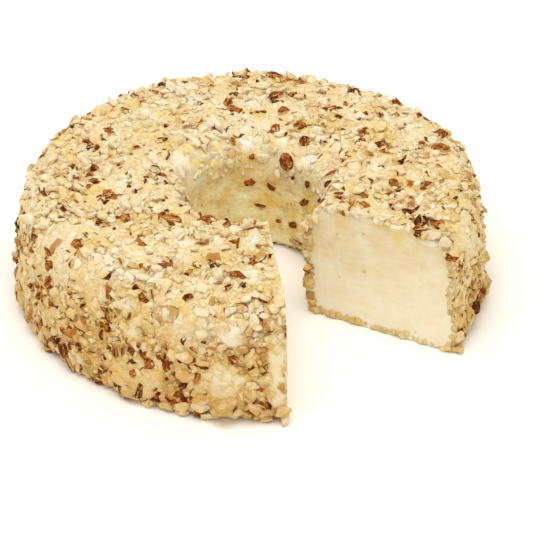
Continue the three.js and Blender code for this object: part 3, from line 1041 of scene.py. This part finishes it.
def lay_marked(coat, kind, rows, free=False):
    """Adds listed pieces of one kind."""
    shape_kind, tone, skin, thick, rise = KIND_LOOKS[kind]
    degrees, share, length, width, turn = np.array(rows, dtype=float).T
    angle = np.radians(degrees)
    thickness = np.maximum(thick * width, 1.8)
    centre, outward = surface(angle, share, rise - 0.16 * thickness)
    count = len(rows)
    coat.crowd.add(surface(angle, share)[0].tolist(), (0.4 * length).tolist())
    look = coat.look(tone + coat.rng.uniform(-0.08, 0.08, count), np.full(count, skin))
    if skin > 0.0:
        look[:, 1] += coat.rng.uniform(-0.14, 0.14, count)
    shape = coat.choice(shape_kind, count)
    coat.add(centre, outward, (length, width, thickness), shape, look, 11, np.radians(turn), free)


def lay_large(coat):
    """Adds the large pieces, except where a listed one lies."""
    places = large_places()
    points = surface(places[:, 0], places[:, 1])[0].tolist()
    room = [coat.crowd.has_room(point, 0.42 * row[2], 0.62) for point, row in zip(points, places)]
    angle, share, length, width, thickness, turn = places[room].T
    count = len(angle)
    skinned = coat.rng.random(count) < LARGE_SKIN_SHARE
    hole = hole_strength(angle, share) > COVERED
    thickness = np.where(hole, 0.7 * thickness, 0.85 * thickness)
    centre, outward = surface(angle, share, np.where(hole, -0.9, 0.25) - 0.14 * thickness)
    base = surface(angle, share)[0]
    coat.crowd.add(base.tolist(), (0.42 * length).tolist())
    shape = coat.either(skinned, "chunk_skin", "chunk")
    look = coat.look(coat.tone(base, share), coat.skin(skinned, 0.25, 0.70))
    coat.add(centre, outward, (length, width, thickness), shape, look, 14, turn)


def lay_foot(coat):
    """Adds the large tan pieces that stand out all round the outer foot."""
    rng = coat.rng
    count, shortest, longest, skin_share = FOOT_LAYER
    share = rng.uniform(0.915, 0.970, count)
    low, high = kept_angles(section_at(share)[0])
    angle = low + (high - low) * (np.arange(count) + rng.uniform(-0.35, 0.35, count)) / count
    length = rng.uniform(shortest, longest, count)
    base = surface(angle, share)[0].tolist()
    keep = rng.random(count) < 0.85
    for i, point in enumerate(base):
        keep[i] &= coat.crowd.has_room(point, 0.4 * length[i], 0.85)
        if keep[i]:
            coat.crowd.add([point], [0.42 * length[i]])
    angle, share, length = (values[keep] for values in (angle, share, length))
    count = len(angle)
    width = length * rng.uniform(0.65, 0.9, count)
    thickness = width * rng.uniform(0.55, 0.75, count)
    centre, outward = surface(angle, share, 1.0 - 0.16 * thickness)
    skinned = rng.random(count) < skin_share
    shape = coat.either(skinned, "chunk_skin", "chunk")
    look = coat.look(rng.uniform(0.0, 0.9, count), coat.skin(skinned, 0.3, 0.95))
    coat.add(centre, outward, (length, width, thickness), shape, look, 10)


def lay_spread(coat, kind):
    """Adds a layer of pieces of a range of sizes all over the coat."""
    rng = coat.rng
    count, longest, shortest, closeness, flatness, lean, skin_share = LAYERS[kind]
    angle, share, length = spread(rng, coat.crowd, count, longest, shortest, closeness)
    count = len(angle)
    width = length * rng.uniform(0.62, 0.95, count)
    thickness = length * rng.uniform(flatness, flatness + 0.22, count)
    luck = rng.random(count) / skin_plenty(angle, share)
    skin_up = luck < skin_share * 0.45
    skin_aside = ~skin_up & (luck < skin_share)
    shape = coat.choice(kind, count)
    shape = np.where(skin_up, coat.choice("chip_skin", count), shape)
    shape = np.where(skin_aside, coat.choice("chip_edge", count), shape)
    skin = np.where(skin_up | skin_aside, 0.2 + 0.8 * rng.random(count) ** 0.75, 0.0)
    hole = hole_strength(angle, share)
    base = surface(angle, share)[0]
    smear = smears(angle, share, base)[0]
    skin = np.where(smear > COVERED, 0.0, skin)
    rise = rng.uniform(-1.0, 0.45, count) - 0.9 * hole - 0.45 * patch_strength(base)
    rise = np.minimum(rise, COAT_RISE + 0.2 - 0.42 * thickness)
    proud = (rng.random(count) < 0.12) & (hole < COVERED) & (smear < COVERED)
    rise += np.where(proud, rng.uniform(0.4, 1.5, count), 0.0)
    centre, outward = surface(angle, share, rise)
    # Deep-lying pieces get painted shade, more golden in tone; smeared cheese makes pieces paler.
    tone = (coat.tone(base, share) + sunk_shade_tone(rise, hole)) * (1.0 - 0.8 * smear)
    look = coat.look(tone, skin)
    coat.add(centre, outward, (length, width, thickness), shape, look, lean)


def lay_crumbs(coat):
    """Adds fine crumbs all over the coat."""
    rng = coat.rng
    count, shortest, longest, skin_share = CRUMB_LAYER
    angle, share = random_places(rng, count, 0.6)
    smear = smears(angle, share, surface(angle, share)[0])[0]
    hole = hole_strength(angle, share)
    keep = rng.random(count) > np.maximum(0.92 * smear, 0.72 * hole)
    angle, share, smear, hole = (values[keep] for values in (angle, share, smear, hole))
    count = len(angle)
    length = rng.uniform(shortest, longest, count)
    width = length * rng.uniform(0.6, 1.0, count)
    thickness = length * rng.uniform(0.4, 0.8, count)
    rise = rng.uniform(-0.8, 0.75, count) * (1.0 - smear) + 0.7 * smear
    rise = rise * (1.0 - hole) - 0.25 * hole
    centre, outward = surface(angle, share, rise)
    skinned = rng.random(count) < skin_share
    shape = coat.either(skinned, "crumb_skin", "crumb")
    skin = coat.skin(skinned)
    # Deep-lying crumbs get painted shade, more golden in tone.
    tone = 0.7 * coat.tone(centre, share) + sunk_shade_tone(rise, np.maximum(hole, smear))
    look = coat.look(tone, skin)
    coat.add(centre, outward, (length, width, thickness), shape, look, 25)


def lay_skin_flakes(coat):
    """Adds thin scraps of skin that lean out of the coat."""
    rng = coat.rng
    count, shortest, longest = SKIN_FLAKES
    angle, share = random_places(rng, count, 0.0)
    keep = (hole_strength(angle, share) < COVERED) & (smears(angle, share, surface(angle, share)[0])[0] < 0.5)
    angle, share = angle[keep], share[keep]
    count = len(angle)
    length = rng.uniform(shortest, longest, count)
    size = (length, length * rng.uniform(0.4, 0.7, count), 0.12 * length)
    centre, outward = surface(angle, share, rng.uniform(0.3, 0.8, count))
    lean = np.column_stack([rng.uniform(0.5, 1.4, count), rng.normal(0.0, 0.15, count)])
    shape = coat.choice("skin_flake", count)
    look = coat.look(np.full(count, 0.8), rng.uniform(0.5, 1.0, count))
    coat.add(centre, outward, size, shape, look, lean)


def lay_underside(coat):
    """Adds pieces pressed flat under the foot."""
    rng = coat.rng
    count, shortest, longest, skin_share = UNDERSIDE_LAYER
    inner = HOLE_RADIUS + HOLE_FLARE + FOOT_RADIUS
    outer = OUTER_RADIUS - FOOT_RADIUS
    r = np.sqrt(rng.uniform(inner**2, outer**2, count))
    low, high = kept_angles(r)
    angle = low + (high - low) * rng.random(count)
    length = rng.uniform(shortest, longest, count)
    centre = np.column_stack([r * np.cos(angle), r * np.sin(angle), 1.05 - rng.uniform(0.0, 0.5, count)])
    outward = np.tile([0.0, 0.0, -1.0], (count, 1))
    skinned = rng.random(count) < skin_share
    shape = coat.either(skinned, "chip_edge", "bit")
    skin = coat.skin(skinned)
    look = coat.look(coat.tone(centre, np.ones(count)), skin)
    size = (length, length * rng.uniform(0.65, 0.95, count), np.full(count, 2.2))
    coat.add(centre, outward, size, shape, look, 6)


# Pieces at the cuts
def on_cut(way, height, degrees, gap_side, depth):
    """Points on a cut at ways along it and heights, the direction out of it and the one along it."""
    along, aside = cut_direction(degrees)
    count = len(way)
    flat = CUT_MEET + way[:, None] * along + gap_side * depth * aside
    outward = np.tile([*(gap_side * aside), 0.0], (count, 1))
    return np.column_stack([flat, height]), outward, np.tile([*along, 0.0], (count, 1))


def lay_rim(coat):
    """Adds the pieces that the knife cut through all round the edge of each cut face."""
    rng = coat.rng
    count, shortest, longest, skin_share = RIM_LAYER
    for side, (_, gap_side) in enumerate(CUTS):
        share = np.clip((np.arange(count) + rng.uniform(-0.5, 0.5, count)) / count, 0.0, 1.0)
        r = section_at(share)[0]
        angle = kept_angles(r)[side] - gap_side * rng.uniform(-0.7, 1.3, count) / r
        length = rng.uniform(shortest, longest, count)
        deep = 1.0 - smooth_step(share, 0.25, 0.4)
        thickness = rng.uniform(2.4, 3.4, count) + 1.8 * deep
        size = (length, length * rng.uniform(0.65, 0.95, count), thickness)
        sunk = rng.random(count) * (1.0 + 0.7 * deep)
        centre, outward = surface(angle, share, 1.1 - 0.5 * thickness - sunk)
        skinned = rng.random(count) < skin_share
        shape = coat.either(skinned, "chip_edge", "chip")
        tone = coat.tone(centre, share) + 0.4 * deep
        look = coat.look(tone, coat.skin(skinned, 0.3, 0.9))
        over = (side == 0) & (share > 0.05) & (rng.random(count) < 0.45 + 0.5 * deep)
        coat.add(centre, outward, size, shape, look, 12, free=over)
    half = count // 2
    for degrees, gap_side in CUTS:
        way = np.linspace(CUT_START, CUT_END, half) + rng.uniform(-0.6, 0.6, half)
        centre, _, along = on_cut(way, rng.uniform(1.5, 2.5, half), degrees, gap_side, -1.0)
        length = rng.uniform(shortest, longest, half)
        size = (length, length * rng.uniform(0.7, 1.0, half), rng.uniform(2.8, 4.2, half))
        look = coat.look(rng.uniform(0.0, 0.45, half), np.zeros(half))
        turn = coat.turns(half)
        down = np.tile([0.0, 0.0, -1.0], (half, 1))
        shape = coat.choice("chip", half)
        lean = coat.tilts(half, 8)
        coat.add(centre, down, size, shape, look, lean, turn, rng.random(half) < 0.6, along)


def lay_cut_crumbs(coat):
    """Adds the few crumbs that the knife drags over the cut faces."""
    rng = coat.rng
    count, shortest, longest, skin_share = CUT_CRUMB_LAYER
    for degrees, gap_side in CUTS:
        way = rng.uniform(CUT_START, CUT_END - 6.0, count)
        centre, outward, along = on_cut(way, rng.uniform(4.0, 50.0, count), degrees, gap_side, 0.1)
        length = rng.uniform(shortest, longest, count)
        skinned = rng.random(count) < skin_share
        shape = coat.either(skinned, "crumb_skin", "crumb")
        look = coat.look(rng.uniform(0.1, 0.8, count), coat.skin(skinned, 0.4))
        size = (length, 0.7 * length, 0.5 * length)
        coat.add(centre, outward, size, shape, look, 10, free=True, along=along)


def lay_cut_pieces(coat):
    """Adds the pieces on the edge of the right cut."""
    for way, height, out, length, tall, thickness, tone, skin, free in CUT_PIECES:
        centre, outward, along = on_cut(np.array([way]), np.array([height]), *CUTS[0], out)
        look = coat.look(np.array([tone]), np.array([skin]))
        shape = coat.choice("chunk_skin" if skin > 0.0 else "chunk", 1)
        size = ([length], [tall], [thickness])
        turn = np.array([CUT_PIECE_TURN])
        coat.add(centre, outward, size, shape, look, np.zeros((1, 2)), turn, free, along)


# Materials
def colour(red, green, blue):
    """Linear colour of a display colour given from 0 to 255."""
    parts = []
    for value in (red / 255, green / 255, blue / 255):
        parts.append(value / 12.92 if value <= 0.04045 else ((value + 0.055) / 1.055) ** 2.4)
    return (*parts, 1.0)


CREAM_COLOUR = (235, 226, 200)
# Almond flesh from pale to golden, and almond skin from thin to thick
FLESH_COLOURS = [
    (0.0, (234, 223, 196)),
    (0.3, (232, 213, 168)),
    (0.62, (215, 188, 128)),
    (0.85, (198, 160, 94)),
    (1.0, (184, 122, 46)),
]
SKIN_COLOURS = [(0.1, (212, 148, 64)), (0.45, (184, 104, 32)), (0.7, (142, 68, 16)), (1.0, (72, 30, 6))]


class Nodes:
    """A material's nodes, with short ways to add and join them."""

    def __init__(self, name):
        self.material = bpy.data.materials.new(name)
        self.material.use_nodes = True
        self.tree = self.material.node_tree
        self.place = self.add("ShaderNodeTexCoord").outputs["Object"]

    def add(self, kind, **settings):
        node = self.tree.nodes.new(kind)
        for key, value in settings.items():
            setattr(node, key, value)
        return node

    def feed(self, sockets, *values):
        """Links each socket to another's value, or sets it to a number, vector or colour."""
        for socket, value in zip(sockets, values):
            if isinstance(value, bpy.types.NodeSocket):
                self.tree.links.new(value, socket)
            else:
                socket.default_value = value

    def fill(self, node, settings):
        """Sets or links a node's sockets by name."""
        self.feed([node.inputs[name] for name in settings], *settings.values())

    def maths(self, operation, *values):
        node = self.add("ShaderNodeMath", operation=operation)
        self.feed(node.inputs, *values)
        return node.outputs[0]

    def times(self, *values):
        return self.maths("MULTIPLY", *values)

    def vector(self, operation, *values, output=0):
        node = self.add("ShaderNodeVectorMath", operation=operation)
        self.feed(node.inputs, *values)
        return node.outputs[output]

    def mix(self, factor, *colours, blend="MIX"):
        """Mixes two colours, each another's value or a display colour."""
        node = self.add("ShaderNodeMix", data_type="RGBA", blend_type=blend)
        colours = [colour(*value) if isinstance(value, tuple) else value for value in colours]
        self.feed((node.inputs[0], node.inputs[6], node.inputs[7]), factor, *colours)
        return node.outputs[2]

    def stained(self, base, stain):
        return self.mix(1.0, base, stain, blend="MULTIPLY")

    def step(self, value, low, high, to_low=0.0, to_high=1.0):
        """Eases a value from to_low at low to to_high at high."""
        node = self.add("ShaderNodeMapRange", interpolation_type="SMOOTHSTEP")
        self.feed(node.inputs, value, low, high, to_low, to_high)
        return node.outputs[0]

    def noise(self, vector, size, detail=2.0, roughness=0.5, stretch=None):
        """Noise with lumps of a size in the vector's own unit, finer along an axis by its stretch."""
        if stretch:
            vector = self.vector("MULTIPLY", vector, stretch)
        node = self.add("ShaderNodeTexNoise")
        self.fill(node, {"Vector": vector, "Scale": 1.0 / size, "Detail": detail, "Roughness": roughness})
        return node.outputs[0]

    def ramp(self, value, stops):
        node = self.add("ShaderNodeValToRGB")
        while len(node.color_ramp.elements) < len(stops):
            node.color_ramp.elements.new(0.5)
        for element, (position, shade) in zip(node.color_ramp.elements, stops):
            element.position = position
            element.color = colour(*shade)
        self.feed(node.inputs, value)
        return node.outputs[0]

    def parts(self, vector):
        node = self.add("ShaderNodeSeparateXYZ")
        self.feed(node.inputs, vector)
        return node.outputs

    def attribute(self, name):
        return self.add("ShaderNodeAttribute", attribute_name=name).outputs["Vector"]

    def bump(self, height, distance, strength):
        node = self.add("ShaderNodeBump")
        self.fill(node, {"Strength": strength, "Distance": distance, "Height": height})
        return node.outputs[0]

    def finish(self, settings):
        """Sets or links the shader's sockets, and returns the material."""
        self.fill(self.tree.nodes["Principled BSDF"], settings)
        return self.material


def tinted(nodes, base):
    """A colour that turns yellower and whiter from place to place, warmer down the wall, and warmer and a
    little darker near the foot.
    """
    broad = nodes.noise(nodes.place, 0.016, detail=3.0, roughness=0.55)
    yellow = nodes.stained(base, (250, 244, 216))
    white = nodes.mix(0.26, base, (246, 240, 225))
    base = nodes.mix(nodes.step(broad, 0.54, 0.66), base, yellow)
    base = nodes.mix(nodes.step(broad, 0.34, 0.48, 1.0, 0.0), base, white)
    height = nodes.parts(nodes.place)[2]
    base = nodes.mix(nodes.step(height, 0.052, 0.030), base, nodes.stained(base, (253, 245, 224)))
    return nodes.mix(nodes.step(height, 0.024, 0.006), base, nodes.stained(base, (248, 244, 238)))


def almond_material():
    nodes = Nodes("almond")
    kernel = nodes.attribute("kernel")
    tone, skin, own = nodes.parts(nodes.attribute("look"))[:3]
    edge = nodes.vector("LENGTH", kernel, output=1)
    shifted = nodes.vector("MULTIPLY_ADD", own, (13.0, 29.0, 41.0), kernel)

    flesh = nodes.ramp(tone, FLESH_COLOURS)
    mottle = nodes.step(nodes.noise(nodes.place, 0.0017, detail=4.0, roughness=0.7), 0.42, 0.66, 0.0, 0.7)
    flesh = nodes.mix(mottle, flesh, nodes.stained(flesh, (240, 219, 168)))
    creamed = nodes.step(nodes.noise(nodes.place, 0.0042, detail=3.0, roughness=0.6), 0.48, 0.62, 0.0, 0.6)
    flesh = tinted(nodes, nodes.mix(creamed, flesh, CREAM_COLOUR))

    ridges = nodes.noise(shifted, 1.0, detail=3.0, roughness=0.6, stretch=(1.6, 9.0, 9.0))
    brown = nodes.ramp(skin, SKIN_COLOURS)
    # The skin is darker where its ridges are low: the skin's own streaks, and painted shade in the grooves of
    # its relief.
    brown = nodes.mix(nodes.step(ridges, 0.38, 0.62), nodes.stained(brown, (150, 118, 84)), brown)
    patches = nodes.noise(shifted, 1.0, detail=3.0, roughness=0.6, stretch=(3.0, 3.0, 3.0))
    brown = nodes.mix(nodes.step(patches, 0.50, 0.66, 0.0, 0.7), brown, (206, 136, 62))
    brown = nodes.mix(nodes.step(patches, 0.34, 0.48, 0.8, 0.0), brown, (84, 30, 6))
    scraped = nodes.noise(shifted, 1.0, detail=4.0, roughness=0.7, stretch=(2.2, 2.2, 2.2))
    has_skin = nodes.step(skin, 0.02, 0.08)
    under = nodes.times(nodes.step(edge, 0.72, 0.97, 0.0, 0.6), has_skin)
    shell = nodes.times(nodes.step(edge, 0.962, 0.972), has_skin)
    shell = nodes.times(shell, nodes.step(scraped, 0.57, 0.63, 1.0, 0.0))
    base = nodes.mix(shell, nodes.mix(under, flesh, (216, 162, 78)), brown)
    grain = nodes.noise(nodes.place, 0.0012, detail=4.0, roughness=0.65)
    relief = nodes.maths("ADD", nodes.times(ridges, shell), nodes.times(grain, 2.0))
    return nodes.finish({
        "Base Color": base,
        "Roughness": nodes.step(ridges, 0.3, 0.7, 0.5, 0.68),
        "Specular IOR Level": nodes.step(shell, 0.2, 0.8, 0.24, 0.08),
        "Subsurface Weight": 0.3,
        "Subsurface Radius": (1.0, 0.85, 0.65),
        "Subsurface Scale": 0.0012,
        "Normal": nodes.bump(relief, 0.0003, 0.9),
    })


def cream_material():
    nodes = Nodes("cream_cheese")
    smear, hole, cut = nodes.parts(nodes.attribute("look"))[:3]
    white, yellow = nodes.parts(nodes.attribute("tint"))[:2]
    height = nodes.parts(nodes.place)[2]
    dust = nodes.noise(nodes.place, 0.0016, detail=4.0, roughness=0.7)
    broad = nodes.noise(nodes.place, 0.009, detail=4.0, roughness=0.6)

    # Cream between the pieces: almond dust, plus painted shade that darkens it to amber in the gaps and hollows
    # among the pieces.
    dust_and_gap_shade = nodes.mix(nodes.step(dust, 0.38, 0.62), (208, 164, 84), (238, 217, 160))
    clean = nodes.mix(nodes.step(broad, 0.38, 0.62), (236, 215, 156), (240, 231, 202))
    clean = nodes.mix(nodes.step(dust, 0.54, 0.68, 0.0, 0.5), clean, (230, 200, 128))
    clean = nodes.mix(nodes.times(white, 0.8), clean, (245, 242, 232))
    clean = nodes.mix(nodes.times(yellow, 0.7), clean, (245, 222, 142))

    streaks = nodes.noise(nodes.place, 0.009, detail=4.0, roughness=0.6, stretch=(1.0, 1.0, 9.0))
    blotches = nodes.maths("ADD", nodes.times(streaks, 0.25), nodes.times(broad, 0.75))
    # The bare wall of the hole: yellower than the open cream, and painted brighter than it, a painted light
    # that makes up for the light the deep hole doesn't get.
    wall = nodes.mix(nodes.step(blotches, 0.40, 0.60), (246, 210, 114), (255, 247, 198))
    wall = nodes.mix(nodes.step(dust, 0.50, 0.70, 0.0, 0.6), wall, (236, 198, 104))

    dragged = nodes.noise(nodes.place, 0.012, detail=5.0, roughness=0.65, stretch=(1.0, 1.0, 7.0))
    drips = nodes.step(nodes.noise(nodes.place, 0.005, detail=3.0, stretch=(1.0, 1.0, 0.14)), 0.50, 0.64)
    drips = nodes.times(drips, nodes.step(height, 0.038, 0.051, 0.0, 0.7))
    face = nodes.mix(nodes.step(broad, 0.30, 0.70), (228, 209, 169), (235, 225, 197))
    face = nodes.mix(nodes.step(height, 0.045, 0.008, 0.0, 0.5), face, (240, 235, 217))
    face = nodes.mix(nodes.step(dragged, 0.52, 0.66, 0.0, 0.4), face, (241, 234, 213))
    face = nodes.mix(drips, face, (234, 206, 132))
    face = nodes.mix(nodes.times(yellow, 0.7), face, (232, 202, 112))

    base = nodes.mix(hole, tinted(nodes, nodes.mix(smear, dust_and_gap_shade, clean)), wall)
    fine = nodes.times(dust, nodes.maths("SUBTRACT", 1.0, nodes.times(cut, 0.85)))
    relief = nodes.maths("ADD", fine, nodes.times(streaks, nodes.times(hole, 0.8)))
    return nodes.finish({
        "Base Color": nodes.mix(nodes.step(cut, 0.3, 0.9), base, face),
        "Roughness": nodes.step(dust, 0.3, 0.7, 0.42, 0.62),
        "Specular IOR Level": 0.4,
        "Subsurface Weight": 0.3,
        "Subsurface Radius": (1.0, 0.88, 0.7),
        "Subsurface Scale": 0.002,
        "Normal": nodes.bump(relief, 0.0009, 0.8),
    })


def floor_material():
    nodes = Nodes("pale_floor")
    base = nodes.mix(nodes.noise(nodes.place, 0.4), (250, 249, 246), (252, 251, 249))
    return nodes.finish({"Base Color": base, "Roughness": 0.85, "Specular IOR Level": 0.1})


# Camera, light and floor
def add_camera():
    lean = math.radians(CAMERA_ELEVATION)
    centre = Vector((0.0, 0.0, CAMERA_CENTRE))
    place = centre + CAMERA_DISTANCE * Vector((0.0, -math.cos(lean), math.sin(lean)))
    aim = centre + Vector((AIM_RIGHT, 0.0, 0.0)) + AIM_UP * Vector((0.0, math.sin(lean), math.cos(lean)))
    data = bpy.data.cameras.new("camera")
    data.sensor_width = SENSOR_WIDTH
    data.lens = CAMERA_LENS
    data.clip_start = 0.05
    data.clip_end = 20.0
    camera = add_object("camera", data)
    camera.location = place * MM
    camera.rotation_euler = (aim - place).to_track_quat("-Z", "Y").to_euler()
    bpy.context.scene.camera = camera


def add_studio():
    world = bpy.data.worlds.new("studio")
    world.use_nodes = True
    background = world.node_tree.nodes["Background"]
    background.inputs["Color"].default_value = WORLD_COLOUR
    background.inputs["Strength"].default_value = WORLD_STRENGTH
    bpy.context.scene.world = world
    bpy.context.scene.view_settings.view_transform = "Standard"
    data = bpy.data.lights.new("key", "AREA")
    data.shape = "DISK"
    data.size = KEY_SIZE
    data.energy = KEY_POWER
    data.color = KEY_TINT
    light = add_object("key", data)
    light.location = KEY_PLACE
    light.rotation_euler = (-KEY_PLACE).to_track_quat("-Z", "Y").to_euler()
    mesh = bpy.data.meshes.new("floor")
    half = FLOOR_HALF_WIDTH
    corners = [(-half, -half, 0.0), (half, -half, 0.0), (half, half, 0.0), (-half, half, 0.0)]
    mesh.from_pydata(corners, [], [(0, 1, 2, 3)])
    mesh.materials.append(floor_material())
    add_object("floor", mesh)


def main():
    add_camera()
    add_studio()
    coat = Coat(almond_material())
    cream_body(cream_material())
    for kind, rows in MARKED_PIECES.items():
        lay_marked(coat, kind, rows)
    for *row, kind in OVERHANGING_PIECES:
        lay_marked(coat, kind, [row], free=True)
    lay_large(coat)
    for *row, kind in FOOT_PIECES:
        lay_marked(coat, kind, [row], free=row[0] > FOOT_OVERHANG_DEGREES)
    lay_foot(coat)
    lay_cut_pieces(coat)
    coat.join("almond_chunks", 50)
    lay_spread(coat, "chip")
    lay_rim(coat)
    coat.join("almond_chips", 50)
    lay_spread(coat, "bit")
    coat.join("almond_bits", 50)
    lay_crumbs(coat)
    lay_cut_crumbs(coat)
    coat.join("almond_crumbs", 38)
    lay_skin_flakes(coat)
    coat.join("almond_skins", 60)
    lay_underside(coat)
    coat.join("almond_underside", 38)


main()
